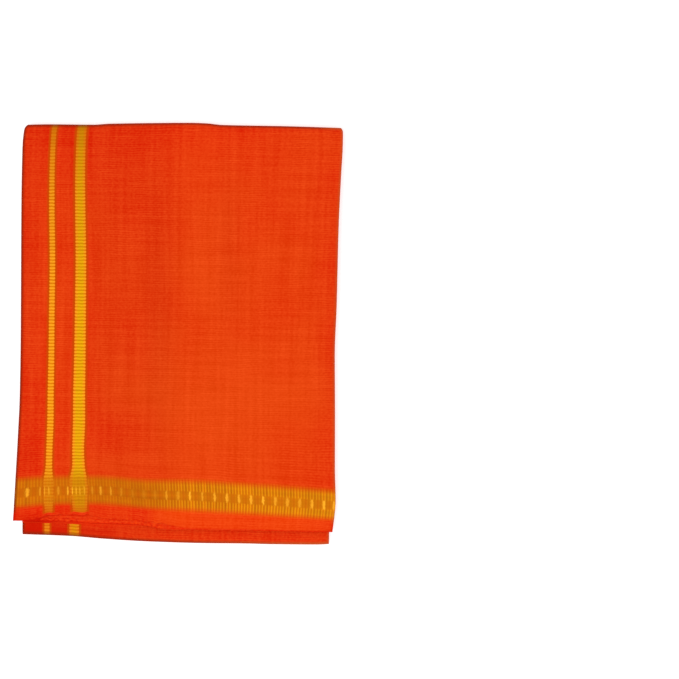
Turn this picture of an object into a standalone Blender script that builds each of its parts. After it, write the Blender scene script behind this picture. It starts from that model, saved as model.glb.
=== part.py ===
"""A dhoti cloth folded flat: one woven length of cotton, 2.00 m by 1.27 m, with nothing sewn on.

The cloth is pleated into eight panels along its length. That strip is folded in half across its width, with
the half that holds the far selvedge underneath, and in half again, with the back half underneath. The pack
lies on its back panel. +Y runs from the selvedges at the front to the fold at the back, +X points to the
side of the first pleat, and +Z is up. Sizes are in millimetres until a mesh is made.

A point of the pack is worked out from its place in plan and its depth below the outer stretch of cloth, so
each stretch is the one outside it, moved in.
"""

from collections import namedtuple

import bpy
import numpy as np

MM = 0.001  # metres

# Driving dimensions.
PACK_HEIGHT = 12.0
WALL = 1.0  # a stretch of cloth and the air that lies against it
SEAM = 0.3  # between two stretches
LAYER = WALL + SEAM
BACK_FOLD_START = (161.2, 158.6)  # y where the fold at the back begins, at the pack's left and right
HALF_WIDTH = 130.0
MIDDLE_FOLD_HEIGHT = 6.0
MIDDLE_FOLD_DEPTH = 3.2
UPPER_LEG_END = -130.0  # y where the middle fold's upper and lower legs end
LOWER_LEG_END = -141.0
PLEAT_RADIUS = LAYER - SEAM / 2  # outside radius of the pleat that joins the first two panels
DISH_DEPTH = 0.7  # how much lower the pack's middle is than its folded sides
DISH_HALF_WIDTH = 120.0
DISH_HALF_LENGTH = 155.0
CORNER_OVERHANG = 7.0  # of the first panel's free corner past the stack
CORNER_DROOP = 1.2

# Ridges in the edges of the hidden layers, from the bottom up.
LOWER_RIDGES = 2
UPPER_RIDGES = 2
GROOVE_DEPTH = 0.7
CREST_INSET = 0.15
CREST = (0.22, 0.78)  # shares of a ridge's height between which it is at its crest
GROOVE_HALF_WIDTH = 0.02
FRONT_STAGGER = 1.1  # each ridge of the upper selvedges lies this far behind the one above

# Outlines in plan. A side gives x at a row's y, and an end gives y at a row's x.
Side = namedtuple("Side", "y x")
End = namedtuple("End", "x y")

FIRST_PANEL_LEFT = (
    Side(y=-148.3, x=-130.3),
    Side(y=-136.0, x=-129.9),
    Side(y=-112.0, x=-128.5),
    Side(y=-81.0, x=-126.8),
    Side(y=-49.5, x=-125.3),
    Side(y=0.0, x=-124.5),
    Side(y=101.0, x=-124.1),
    Side(y=148.5, x=-123.2),
    Side(y=157.0, x=-122.5),
    Side(y=162.5, x=-121.0),
    Side(y=165.4, x=-118.6),
)
FIRST_PANEL_RIGHT = (
    Side(y=-156.4, x=122.2),
    Side(y=-144.5, x=123.7),
    Side(y=-133.0, x=124.7),
    Side(y=-105.0, x=124.1),
    Side(y=-65.0, x=124.2),
    Side(y=-17.8, x=124.0),
    Side(y=22.0, x=125.5),
    Side(y=85.0, x=127.1),
    Side(y=124.8, x=129.0),
    Side(y=150.0, x=130.4),
    Side(y=159.0, x=130.5),
    Side(y=163.0, x=129.6),
)
STACK_LEFT = (
    Side(y=-166.0, x=-122.9),
    Side(y=150.0, x=-122.0),
    Side(y=158.0, x=-121.4),
    Side(y=165.5, x=-118.0),
)
STACK_RIGHT = (
    Side(y=-167.0, x=119.0),
    Side(y=0.0, x=123.6),
    Side(y=155.0, x=128.4),
    Side(y=163.0, x=127.4),
)
BACK_END = (
    End(x=-119.0, y=165.2),
    End(x=-104.6, y=165.8),
    End(x=-66.6, y=165.5),
    End(x=-53.9, y=166.4),
    End(x=9.5, y=167.0),
    End(x=22.1, y=166.7),
    End(x=34.8, y=165.4),
    End(x=85.5, y=164.3),
    End(x=130.0, y=162.7),
)
FIRST_SELVEDGE = (
    End(x=-130.3, y=-148.3),
    End(x=-117.0, y=-148.0),
    End(x=-109.3, y=-145.0),
    End(x=-103.0, y=-142.4),
    End(x=-93.5, y=-142.1),
    End(x=-69.7, y=-142.3),
    End(x=-61.8, y=-145.3),
    End(x=-38.1, y=-147.4),
    End(x=-14.3, y=-149.6),
    End(x=-2.4, y=-152.4),
    End(x=9.0, y=-153.9),
    End(x=49.1, y=-154.6),
    End(x=122.2, y=-156.4),
)
SECOND_SELVEDGE = (
    End(x=-123.0, y=-149.4),
    End(x=-93.5, y=-149.6),
    End(x=-61.8, y=-151.6),
    End(x=-30.1, y=-153.0),
    End(x=-9.5, y=-154.4),
    End(x=49.1, y=-155.6),
    End(x=122.2, y=-157.1),
)
MIDDLE_FOLD_END = (
    End(x=-122.9, y=-158.4),
    End(x=-85.6, y=-159.9),
    End(x=-60.2, y=-162.3),
    End(x=-22.2, y=-164.8),
    End(x=22.1, y=-165.9),
    End(x=53.8, y=-165.9),
    End(x=72.8, y=-166.8),
    End(x=110.8, y=-167.0),
    End(x=119.1, y=-166.2),
)

# Broad soft troughs and swells of the whole pack, each one a rounded hill or hollow.
Swell = namedtuple("Swell", "x y half_width half_length height")
SWELLS = (
    Swell(x=-14.0, y=20.0, half_width=16.0, half_length=190.0, height=-0.45),
    Swell(x=41.0, y=70.0, half_width=12.0, half_length=120.0, height=-0.35),
    Swell(x=16.0, y=-70.0, half_width=26.0, half_length=80.0, height=0.40),
    Swell(x=-82.0, y=60.0, half_width=34.0, half_length=110.0, height=0.30),
    Swell(x=92.0, y=-20.0, half_width=24.0, half_length=130.0, height=0.30),
)
# Ripples that lift the first panel's selvedge off the second, and die out at their reach in from the edge.
Ripple = namedtuple("Ripple", "x half_width reach height")
RIPPLES = (
    Ripple(x=-100.0, half_width=11.0, reach=16.0, height=1.5),
    Ripple(x=-78.0, half_width=13.0, reach=14.0, height=1.2),
    Ripple(x=-46.0, half_width=12.0, reach=10.0, height=0.7),
    Ripple(x=-13.0, half_width=15.0, reach=12.0, height=0.9),
)

# Steps across the panels, as shares of their width and length. They are closer where the edges wave.
ACROSS = np.concatenate((np.linspace(0.0, 0.30, 10), np.linspace(0.35, 0.55, 5), np.linspace(0.62, 1.0, 6)))
ALONG = np.concatenate(((0.0, 0.015, 0.035, 0.07), np.linspace(0.12, 1.0, 12)))
UNDER_ALONG = np.linspace(0.0, 1.0, 9)
LEG_STEPS = 4
ROUNDS = 8  # that settle a point between its panel's four edges
HALF_TURN = np.linspace(0.0, np.pi, 9)
PLEAT_TURN = np.linspace(0.0, np.pi, 7)
NOSE = np.radians((12.0, 50.0, 90.0))  # a rounded edge, from its tip to where it is full thickness

# Colour is in linear light.
Finish = namedtuple("Finish", "colour roughness")
FINISHES = {
    "top_stretch": Finish(colour=(0.79, 0.048, 0.005), roughness=0.75),
    "second_stretch": Finish(colour=(0.81, 0.052, 0.004), roughness=0.78),
    "middle_fold": Finish(colour=(0.72, 0.032, 0.003), roughness=0.78),
    "under_stretch": Finish(colour=(0.75, 0.042, 0.004), roughness=0.80),
    "hidden_layers": Finish(colour=(0.62, 0.030, 0.003), roughness=0.82),
}


def smooth(table, at):
    """The curve through a table's rows, read at each place in at. It doesn't overshoot between rows."""
    place, value = np.array(table, float).T
    width = np.diff(place)
    slope = np.diff(value) / width
    product = slope[:-1] * slope[1:]
    total = np.where(product > 0, slope[:-1] + slope[1:], 1.0)
    inner = np.where(product > 0, 2 * product / total, 0.0)
    tangent = np.concatenate((slope[:1], inner, slope[-1:]))
    at = np.clip(at, place[0], place[-1])
    row = np.clip(np.searchsorted(place, at, side="right") - 1, 0, len(width) - 1)
    t = (at - place[row]) / width[row]
    before = (1 + 2 * t) * (1 - t) ** 2 * value[row] + t * (1 - t) ** 2 * width[row] * tangent[row]
    after = t * t * (3 - 2 * t) * value[row + 1] - t * t * (1 - t) * width[row] * tangent[row + 1]
    return before + after


def hill(offset):
    """A rounded hill of height 1 that falls to nothing at an offset of 1."""
    return np.cos(np.clip(offset, -1.0, 1.0) * np.pi / 2) ** 2


def side(table, shift=0.0):
    """A panel's side as x at any y, moved to the right by shift."""
    return lambda y: smooth(table, y) + shift


def end(table, shift=0.0):
    """A panel's end as y at any x, moved back by shift."""
    return lambda x: smooth(table, x) + shift


def straight(y):
    """A panel's end that runs straight across."""
    return lambda x: np.full_like(x, y)


def back_start(x):
    """y where the flat of the pack meets the fold at the back."""
    share = (x + HALF_WIDTH) / (2 * HALF_WIDTH)
    return BACK_FOLD_START[0] + (BACK_FOLD_START[1] - BACK_FOLD_START[0]) * share


def back_fold(depth, out):
    """y, at a row's x, of the fold at the back. depth is how far in the layer lies, and out is its share of
    the fold's full reach."""
    return lambda x: back_start(x) + (smooth(BACK_END, x) - back_start(x) - depth) * out


def relief(x, y):
    """How much higher the pack's top lies than its nominal height."""
    height = -DISH_DEPTH * hill(x / DISH_HALF_WIDTH) * hill(y / DISH_HALF_LENGTH)
    for swell in SWELLS:
        across, along = (x - swell.x) / swell.half_width, (y - swell.y) / swell.half_length
        height += swell.height * hill(across) * hill(along)
    return height


def settled(x, y, z):
    """Points of the pressed pack. Each layer takes its share of the relief, and the underside stays flat."""
    return np.stack((x, y, z + relief(x, y) * z / PACK_HEIGHT), -1)


def lifted(points, from_edge):
    """The first panel's points, with its rippled selvedge raised and its free corner drooping. from_edge is
    how far in from the selvedge each point lies."""
    x, y, z = np.moveaxis(points, -1, 0)
    lift = sum(
        ripple.height * hill((x - ripple.x) / ripple.half_width) * hill(from_edge / ripple.reach)
        for ripple in RIPPLES
    )
    overhang = np.clip(smooth(STACK_LEFT, y) - x, 0.0, CORNER_OVERHANG) / CORNER_OVERHANG
    on_top = z > PACK_HEIGHT / 2
    z = z + np.where(on_top, lift - CORNER_DROOP * overhang**2, 0.0)
    return np.stack((x, y, z), -1)


def cells(rows, columns):
    """The four corners of each cell of a grid, anticlockwise seen from outside."""
    for row, column in np.ndindex(rows - 1, columns - 1):
        yield (row, column), (row, column + 1), (row + 1, column + 1), (row + 1, column)


def rim(rows, columns):
    """The places along a grid's edge, anticlockwise from its first corner and back to it."""
    places = [(0, column) for column in range(columns)]
    places += [(row, columns - 1) for row in range(1, rows)]
    places += [(rows - 1, column) for column in range(columns - 2, -1, -1)]
    places += [(row, 0) for row in range(rows - 2, -1, -1)]
    return places


def shell_mesh(name, outer, inner):
    """A closed wall between two equal grids of points, given in millimetres."""
    rows, columns = outer.shape[:2]
    over, under = np.arange(2 * rows * columns).reshape(2, rows, columns)
    faces = []
    for corners in cells(rows, columns):
        faces.append([over[corner] for corner in corners])
        faces.append([under[corner] for corner in reversed(corners)])
    places = rim(rows, columns)
    for here, after in zip(places, places[1:]):
        faces.append([under[here], under[after], over[after], over[here]])
    points = np.concatenate((outer.reshape(-1, 3), inner.reshape(-1, 3)))
    mesh = bpy.data.meshes.new(name)
    mesh.from_pydata((points * MM).tolist(), [], np.array(faces).tolist())
    return mesh


def nose_left(inset):
    """Columns for a stretch whose left edge is a rounded fold: shares across, shifts in x, and how much of
    the full thickness the stretch has there."""
    share = np.concatenate((np.zeros(len(NOSE)), ACROSS[1:]))
    shift = np.concatenate((inset * (1 - np.cos(NOSE)), np.zeros(len(ACROSS) - 1)))
    thick = np.concatenate((np.sin(NOSE), np.ones(len(ACROSS) - 1)))
    return share, shift, thick


def nose_right(inset):
    """The same for a stretch whose right edge is a rounded fold."""
    share, shift, thick = nose_left(inset)
    return 1 - share[::-1], -shift[::-1], thick[::-1]


def folded_wall(edges, share, shift, depth):
    """One face of a stretch that lies on top and turns down the back fold. share, shift and depth hold, for
    each column, the share across, the shift in x from there, and how deep it lies. Returns the points and how
    far each is from the stretch's front edge."""
    left, right, front = edges
    flat = np.concatenate((ALONG, np.ones(len(HALF_TURN) - 1)))[:, None]
    turn = np.concatenate((np.zeros(len(ALONG)), HALF_TURN[1:]))[:, None]
    fold = back_fold(depth, np.sin(turn))
    half = PACK_HEIGHT / 2
    z = half + (half - depth) * np.cos(turn)
    x = left(0.0) + (right(0.0) - left(0.0)) * share + 0 * turn
    for _ in range(ROUNDS):
        y = front(x) + (back_start(x) - front(x)) * flat + fold(x) - back_start(x)
        x = left(y) + (right(y) - left(y)) * share + shift
    return settled(x, y, z), y - front(x)


def pleated_columns(depth):
    """Columns of the first panel at a depth below its outside: flat across, then round the pleat at its
    right."""
    radius = PLEAT_RADIUS - depth
    turn = PLEAT_TURN[1:]
    share = np.concatenate((ACROSS, np.ones(len(turn))))
    shift = np.concatenate((-PLEAT_RADIUS * ACROSS, radius * np.sin(turn) - PLEAT_RADIUS))
    depths = np.concatenate((np.full(len(ACROSS), depth), PLEAT_RADIUS - radius * np.cos(turn)))
    return share, shift, depths


def top_stretch():
    """The first panel: its selvedge at the front, its cut end at the left, its pleat at the right."""
    edges = side(FIRST_PANEL_LEFT), side(FIRST_PANEL_RIGHT), end(FIRST_SELVEDGE)
    outer = lifted(*folded_wall(edges, *pleated_columns(0.0)))
    inner = lifted(*folded_wall(edges, *pleated_columns(WALL)))
    return shell_mesh("top_stretch", outer, inner)


def second_stretch():
    """The second panel, one layer in from the first. Its left edge is the pleat to the third."""
    edges = side(STACK_LEFT), side(FIRST_PANEL_RIGHT, -PLEAT_RADIUS - SEAM), end(SECOND_SELVEDGE)
    half = WALL / 2
    share, shift, thick = nose_left(half)
    outer, _ = folded_wall(edges, share, shift, LAYER + half - half * thick)
    inner, _ = folded_wall(edges, share, shift, LAYER + half + half * thick)
    return shell_mesh("second_stretch", outer, inner)


def middle_fold():
    """The fold at the middle of the cloth's width, which stands out under the selvedges. Its rows run from
    the end of its lower leg, round its front, to the end of its upper leg."""
    left, right, front = side(STACK_LEFT), side(STACK_RIGHT), end(MIDDLE_FOLD_END)
    half = WALL / 2
    share, shift, thick = nose_right(half)
    steps = np.linspace(0.0, 1.0, LEG_STEPS)[1:]
    inward = np.concatenate((steps[::-1], np.zeros(len(HALF_TURN)), steps))[:, None]
    turn = np.concatenate((np.full(len(steps), np.pi), HALF_TURN[::-1], np.zeros(len(steps))))[:, None]
    leg_end = np.where(turn > np.pi / 2, LOWER_LEG_END, UPPER_LEG_END)
    middle = MIDDLE_FOLD_HEIGHT / 2
    faces = []
    for depth in (half - half * thick, half + half * thick):
        x = left(leg_end) + (right(leg_end) - left(leg_end)) * share
        for _ in range(ROUNDS):
            start = front(x) + MIDDLE_FOLD_DEPTH
            y = start + (leg_end - start) * inward - (MIDDLE_FOLD_DEPTH - depth) * np.sin(turn)
            x = left(y) + (right(y) - left(y)) * share + shift
        faces.append(settled(x, y, middle + (middle - depth) * np.cos(turn)))
    return shell_mesh("middle_fold", *faces)


def under_back(x):
    """y of the back end of what lies flat on the underside."""
    return back_start(x) - SEAM


def panel_grid(height, edges, across, along):
    """A grid of points at a nominal height, between a panel's four edges. Each edge is read at the other
    coordinate, so a few rounds settle a point between all four."""
    left, right, front, back = edges
    across, along = across[None, :], along[:, None]
    x = left(0.0) + (right(0.0) - left(0.0)) * across + 0 * along
    for _ in range(ROUNDS):
        y = front(x) + (back(x) - front(x)) * along
        x = left(y) + (right(y) - left(y)) * across
    return settled(x, y, np.full_like(x, height))


def under_stretch():
    """The flat panel that the pack rests on, between the ends of the two folds that join it."""
    edges = side(STACK_LEFT), side(STACK_RIGHT), straight(LOWER_LEG_END + SEAM), under_back
    upper, lower = (panel_grid(height, edges, ACROSS[::2], UNDER_ALONG) for height in (WALL, 0.0))
    return shell_mesh("under_stretch", upper, lower)


def half_round(height, middle, half_height):
    """The share of its full depth that a half ellipse stands out at a height."""
    return np.sqrt(np.clip(1 - ((height - middle) / half_height) ** 2, 0.0, 1.0))


def hidden_section(height, inset, front):
    """The hidden layers' section at a height: a grid of points whose sides are inset, with the given front
    end."""
    back = under_back
    if height > 2 * LAYER + SEAM:
        out = half_round(height, PACK_HEIGHT / 2, PACK_HEIGHT / 2 - 2 * LAYER)
        back = back_fold(2 * LAYER, out)
    edges = side(STACK_LEFT, inset), side(STACK_RIGHT, -inset), front, back
    return panel_grid(height, edges, ACROSS, ALONG)


def ridges(low, high, count, front_of):
    """Sections of ridges one above another. front_of gives a section's front end from its ridge's number,
    its height and its inset."""
    sections = []
    lows = np.linspace(low, high, count + 1)
    for ridge, (bottom, top) in enumerate(zip(lows, lows[1:])):
        rise = top - bottom
        profile = (
            (bottom + GROOVE_HALF_WIDTH, GROOVE_DEPTH),
            (bottom + CREST[0] * rise, CREST_INSET),
            (bottom + CREST[1] * rise, CREST_INSET),
            (top - GROOVE_HALF_WIDTH, GROOVE_DEPTH),
        )
        sections += [hidden_section(z, inset, front_of(ridge, z, inset)) for z, inset in profile]
    return sections


def nose_front(_, height, __):
    """The front of what the middle fold wraps round."""
    middle = MIDDLE_FOLD_HEIGHT / 2
    reach = (MIDDLE_FOLD_DEPTH - LAYER) * half_round(height, middle, middle - LAYER)
    return end(MIDDLE_FOLD_END, MIDDLE_FOLD_DEPTH - reach)


def slot_front(*_):
    """The back of the slot that holds the middle fold's upper leg."""
    return straight(UPPER_LEG_END + SEAM)


def selvedge_front(ridge, _, inset):
    """The front of the inner selvedges, each ridge a little behind the one above."""
    return end(SECOND_SELVEDGE, FRONT_STAGGER * (UPPER_RIDGES - ridge) + inset)


def hidden_layers():
    """All the panels between, one solid with a ridge for every few layers along its edges."""
    slot_floor, slot_roof = MIDDLE_FOLD_HEIGHT - LAYER, MIDDLE_FOLD_HEIGHT + SEAM
    grids = ridges(LAYER, slot_floor, LOWER_RIDGES, nose_front)
    grids += ridges(slot_floor, slot_roof, 1, slot_front)
    grids += ridges(slot_roof, PACK_HEIGHT - 2 * LAYER, UPPER_RIDGES, selvedge_front)
    rows, columns = grids[0].shape[:2]
    ring = rim(rows, columns)[:-1]
    size = len(ring)
    points = [grid[place] for grid in grids for place in ring]
    faces = []
    for low in range(0, (len(grids) - 1) * size, size):
        for here, after in zip(range(size), [*range(1, size), 0]):
            faces.append((low + here, low + after, low + size + after, low + size + here))
    for level, turned in ((0, True), (len(grids) - 1, False)):
        number = {place: level * size + k for k, place in enumerate(ring)}
        for place in np.ndindex(rows, columns):
            if place not in number:
                number[place] = len(points)
                points.append(grids[level][place])
        for corners in cells(rows, columns):
            quad = [number[corner] for corner in corners]
            faces.append(quad[::-1] if turned else quad)
    mesh = bpy.data.meshes.new("hidden_layers")
    mesh.from_pydata((np.array(points) * MM).tolist(), [], faces)
    return mesh


def cloth_material(name, finish):
    """Plain woven cotton in one colour."""
    material = bpy.data.materials.new(name)
    material.use_nodes = True
    surface = material.node_tree.nodes["Principled BSDF"]
    surface.inputs["Base Color"].default_value = (*finish.colour, 1.0)
    surface.inputs["Roughness"].default_value = finish.roughness
    surface.inputs["Metallic"].default_value = 0.0
    return material


def centre(meshes):
    """Moves the meshes together so that the origin lies under the middle of the pack."""
    points = np.concatenate([[vertex.co for vertex in mesh.vertices] for mesh in meshes])
    middle = (points.min(0) + points.max(0)) / 2
    for mesh in meshes:
        for vertex in mesh.vertices:
            vertex.co.x -= middle[0]
            vertex.co.y -= middle[1]


def main():
    for old in list(bpy.data.objects):
        bpy.data.objects.remove(old, do_unlink=True)
    meshes = [top_stretch(), second_stretch(), middle_fold(), under_stretch(), hidden_layers()]
    centre(meshes)
    for mesh in meshes:
        mesh.shade_smooth()
        mesh.set_sharp_from_angle(angle=np.radians(40))
        mesh.materials.append(cloth_material(mesh.name, FINISHES[mesh.name]))
        bpy.context.scene.collection.objects.link(bpy.data.objects.new(mesh.name, mesh))


main()
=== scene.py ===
"""A dhoti cloth folded flat, seen from straight above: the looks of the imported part.

The whole garment is one sheet, 1.27 m by 2.00 m. It is pleated into eight panels along its length, and that
strip is folded in half twice across its width. Here every layer of it is built, as one thin closed shell
whose points are worked out from their place on the flat cloth. Sizes are in millimetres until a mesh is made.

Directions as in the part: +Y from the selvedges at the front to the fold at the back, +X to the side of the
first pleat, +Z up. On the flat cloth, s is how far a point lies from the first cut end, and t how far from
the first selvedge.
"""

import math
from collections import namedtuple

import bpy
import numpy as np
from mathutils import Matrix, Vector


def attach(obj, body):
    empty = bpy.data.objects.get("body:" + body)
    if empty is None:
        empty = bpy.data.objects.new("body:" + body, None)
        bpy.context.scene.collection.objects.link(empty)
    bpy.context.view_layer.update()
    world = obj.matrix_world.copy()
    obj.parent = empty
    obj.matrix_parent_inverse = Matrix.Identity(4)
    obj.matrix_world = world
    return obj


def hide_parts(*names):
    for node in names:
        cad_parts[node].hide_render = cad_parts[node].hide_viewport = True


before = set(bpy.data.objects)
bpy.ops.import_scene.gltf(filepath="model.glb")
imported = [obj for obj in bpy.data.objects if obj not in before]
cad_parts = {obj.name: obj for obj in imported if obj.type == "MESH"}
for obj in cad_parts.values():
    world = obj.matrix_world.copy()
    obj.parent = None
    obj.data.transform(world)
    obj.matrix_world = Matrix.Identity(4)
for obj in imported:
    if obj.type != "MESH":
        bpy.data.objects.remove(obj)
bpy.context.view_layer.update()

MM = 0.001  # metres


def table(names, *rows):
    """Rows of numbers in named columns."""
    Row = namedtuple("Row", names)
    return [Row(*row) for row in rows]


# The cloth, flat.
CLOTH_LENGTH = 2000
CLOTH_WIDTH = 1270
CLOTH_THICKNESS = 0.27
PANELS = 8  # along the length, with a pleat between each two
QUARTERS = 4  # across the width, with a fold between each two
PANEL = CLOTH_LENGTH / PANELS
QUARTER = CLOTH_WIDTH / QUARTERS

# The width is folded into seven stretches: the run on top, the fold at the back, the run at the bottom, the
# middle fold in front, the run above the bottom one, the fold inside the back one and the last run. A point's
# stretch is its place among them, from 0 at the first selvedge to 7 at the last.
STRETCH_ENDS = (0, 303, 323, 638, 647, 962, 965, CLOTH_WIDTH)  # t
TOP_END = 1  # stretch
BACK_FOLD_END = 2
LAST_RUN_START = 6

# The pack.
PACK_HEIGHT = 12
HALF_HEIGHT = PACK_HEIGHT / 2
STRIP_HEIGHT = PACK_HEIGHT / QUARTERS
LAYER = STRIP_HEIGHT / PANELS
OUTER_FACE = (LAYER + CLOTH_THICKNESS) / 2  # from a pleat's middle
INNER_FACE = (LAYER - CLOTH_THICKNESS) / 2
CENTRE = np.array((0.1, 0, 0))  # of the pack's outline, which the part is centred on
HALF_WIDTH = 130
TOP_LENGTH = 310  # of the first panel, from its selvedge to the fold at the back
BACK_FOLD_START = (161.2, 158.6)  # y where the fold at the back begins, at the pack's left and right
FOLD_SQUARENESS = 2.5  # 2 is a half ellipse
MIDDLE_FOLD_DEPTH = 3.2
INNER_FOLD_SPARE = 0.04  # half the gap between the two strips that meet in the middle
INNER_FOLD_GAP = 0.1  # between the fold inside the back one and the layers round it
INNER_FOLD_LEAST = 0.15  # how far that fold stands out at the least
DISH_DEPTH = 0.7
DISH_HALF_WIDTH = 120
DISH_HALF_LENGTH = 155
CORNER_START = 148.5  # y where the first panel's left edge starts to round the corner
CORNER_OVERHANG = 7
CORNER_DROOP = 1.2
FRONT_REACH = 20  # how far in from the front edge the pack's upper half is thinned
FRONT_PRESS = 0.5  # and by what share of its height at that edge

# How far the hidden pleats lie in from the outlines. Each wavers along the cloth's width.
PLEAT_TUCKS = (0, 0, 0.2, 0.7, 0.5, 0.35, 0.8, 0.5)
TUCK_WAVER = 0.3  # as a share of the tuck
TUCK_SCALE = 41  # the wave's length over 2 pi
TUCK_TURN = 2.3  # of the wave, from pleat to pleat
# How far the hidden selvedges lie behind the second one, panel by panel. At the left they step evenly
# forwards from the top one down instead, and the steps are the first panel's and the last's.
UPPER_STAGGERS = (0, 0, 1.4, 2.3, 1, 3.1, 2, 3.7)
UPPER_STEPS = (2.2, 1.1)
INNER_STAGGERS = (6.1, 4.4, 5.5, 3.4, 4.7, 3.8, 2.4, 2.4)
INNER_STEPS = (0.1, 1)
STEPS_END = -22  # x
STEPS_FADE = 30

# Outlines in plan, as in the part. The sides give x at each y, and the ends give y at each x.
FIRST_PANEL_LEFT = table(
    "y x",
    (-148.3, -131), (-136, -129.9), (-112, -128.4), (-81, -126.6), (-49.5, -125.1),
    (0, -124.3), (101, -123.8), (148.5, -122.9), (157, -122.2), (162.5, -121.2),
    (165.4, -119.4),
)
FIRST_PANEL_RIGHT = table(
    "y x",
    (-156.4, 122.2), (-144.5, 123.7), (-133, 124.7), (-105, 124.1), (-65, 124.2),
    (-17.8, 124), (22, 125.5), (85, 127.1), (124.8, 129), (150, 130.4), (159, 130.5),
    (163, 129.8),
)
STACK_LEFT = table(
    "y x",
    (-166, -123.6), (150, -122), (158, -121.4), (165.5, -118),
)
STACK_RIGHT = table(
    "y x",
    (-167, 119.3), (0, 123.6), (155, 128.4), (163, 127.4),
)
BACK_END = table(
    "x y",
    (-119, 165.6), (-104.6, 165.9), (-66.6, 165.6), (-53.9, 166.4), (9.5, 167.1),
    (22.1, 166.7), (34.8, 165.4), (85.5, 164.4), (130, 163),
)
FIRST_SELVEDGE = table(
    "x y",
    (-130.3, -148.1), (-117, -148), (-109.3, -146.2), (-103, -143.9), (-93.5, -143.3),
    (-69.7, -143.4), (-61.8, -145.8), (-38.1, -147.4), (-14.3, -149.6), (-2.4, -152.4),
    (9, -153.9), (49.1, -154.6), (122.2, -156.4),
)
SECOND_SELVEDGE = table(
    "x y",
    (-123, -150), (-93.5, -150.5), (-61.8, -152), (-30.1, -153), (-9.5, -154.9),
    (49.1, -155.6), (122.2, -157.1),
)
MIDDLE_FOLD_END = table(
    "x y",
    (-122.9, -159.1), (-85.6, -160.5), (-60.2, -162.6), (-22.2, -164.9), (22.1, -166.2),
    (53.8, -166.5), (72.8, -167), (110.8, -167.3), (119.1, -166.9),
)

# Broad soft troughs and swells of the whole pack, each one a rounded hill or hollow.
SWELLS = table(
    "x y half_width half_length height",
    (-14, 20, 16, 190, -0.45),
    (41, 70, 12, 120, -0.35),
    (16, -70, 26, 80, 0.4),
    (-82, 60, 34, 110, 0.3),
    (92, -20, 24, 130, 0.3),
)
# Ripples that lift the first panel's selvedge off the second, and die out at their reach in from the edge.
RIPPLES = table(
    "x half_width reach height",
    (-100, 11, 16, 1.5),
    (-78, 13, 14, 1.2),
    (-46, 12, 10, 0.7),
    (-13, 15, 12, 0.9),
)

# Uneven waves along the selvedges, whose crests crowd and part. A scale is a wave's length over 2 pi.
Wave = namedtuple("Wave", "scale sway sway_scale")
FRILL_WAVE = Wave(scale=1.35, sway=2, sway_scale=9)
CRINKLE_WAVE = Wave(scale=1.5, sway=1.8, sway_scale=8)
CURL_WAVE = Wave(scale=2.3, sway=2.2, sway_scale=7)
# Windows, in x, that they and the painted shade and shadow by the selvedges show in.
Window = namedtuple("Window", "low high fade")
FRILL_WINDOW = Window(-104, -6, fade=10)
CRINKLE_WINDOW = Window(-104, -2, fade=10)
CURL_WINDOW = Window(-98, -70, fade=8)
CRUMPLE_WINDOW = Window(-114, -12, fade=16)
NEXT_LINE_WINDOW = Window(-66, -5, fade=16)
FRILL_SIZE = 0.45
FINE_FRILL_SIZE = 0.25
FINE_FRILL_SCALE = 0.83
CRINKLE_HEIGHT = 0.5
CRINKLE_REACH = 8  # in from the first selvedge
CRINKLE_SLANT = 3
CRUMPLE_REACH = 13  # in from the second selvedge

# Where the weave's parts lie on the flat cloth.
NARROW_STRIPE = 24.5  # s
WIDE_STRIPE = 46.9
BORDER_START = 11.2  # t
BORDER_END = 33
PATTERN_FADE = 40  # how far past the border or the stripes the cloth is pulled askew
TURNED_IN = 5  # how much of the cut end is turned in where the middle fold shows it
TURN_IN_START = 2.7  # stretch
TURN_IN_FADE = 0.3
WIDE_TURN_IN = 1.2  # how much more of that the wide stripe is moved by
# The stripes on the rest of the first panel, from half way round the fold at the back.
NARROW_HALF_WIDTH = 1.85
WIDE_HALF_WIDTH = 3.65
# painted sheen of the stripes from half way round the fold at the back
STRIPE_SHEEN = 0.96
STRIPE_COVER = 0.61
STRIPES_FADE_START = 1.5  # stretch
STRIPES_FADE = 0.5

# Where the stripes and the border lie on the pack's top. The stripes are given by how far in from the cut end
# they are. Their painted sheen dims them towards the fold at the back and towards the selvedge, as painted
# light and shade. Their cover is how much of the orange they hide.
STRIPES = table(
    "y narrow wide narrow_half wide_half glow cover",
    (-148, 28.7, 53.4, 2.3, 4.9, 0.9, 0.42),
    (-140.5, 28.1, 53, 2.5, 5, 0.9, 0.42),
    (-132, 27.4, 52.1, 3, 5.6, 0.9, 0.88),
    (-122, 26.6, 51, 3.4, 6.5, 0.9, 1),
    (-114, 26.1, 50, 3.1, 6.1, 0.92, 1),
    (-104, 25.9, 49.4, 2.15, 4.5, 0.97, 1),
    (-90, 25.5, 48.2, 2.1, 4.3, 1, 1),
    (-73, 25.25, 47.9, 2.2, 4.5, 1, 1),
    (-46, 24.4, 46.9, 2.15, 4.4, 1.01, 1),
    (5, 24.4, 47, 1.95, 4.1, 1, 1),
    (56, 24.8, 47.3, 1.9, 3.9, 0.98, 1),
    (100, 24.1, 46.6, 1.9, 3.75, 0.96, 0.97),
    (130, 23.9, 46.1, 1.8, 3.6, 0.93, 0.92),
    (147, 24.1, 46.1, 1.75, 3.5, 0.9, 0.87),
    (158, 24.8, 46.6, 1.75, 3.5, 0.87, 0.83),
    (164, 25.6, 47.3, 1.8, 3.5, 0.85, 0.81),
)
BORDER_TOP = table(
    "x y",
    (-125.2, -115), (-105.4, -113.6), (-65.8, -113.2), (-22.2, -116.4), (7.9, -116.9),
    (64.9, -120.5), (122.7, -125),
)
BORDER_BOTTOM = table(
    "x y",
    (-125.2, -137.4), (-101.4, -135.2), (-65.8, -134.6), (-44, -136.1), (-22.2, -138.3),
    (7.9, -139.6), (64.9, -143), (122.7, -146.9),
)
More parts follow.
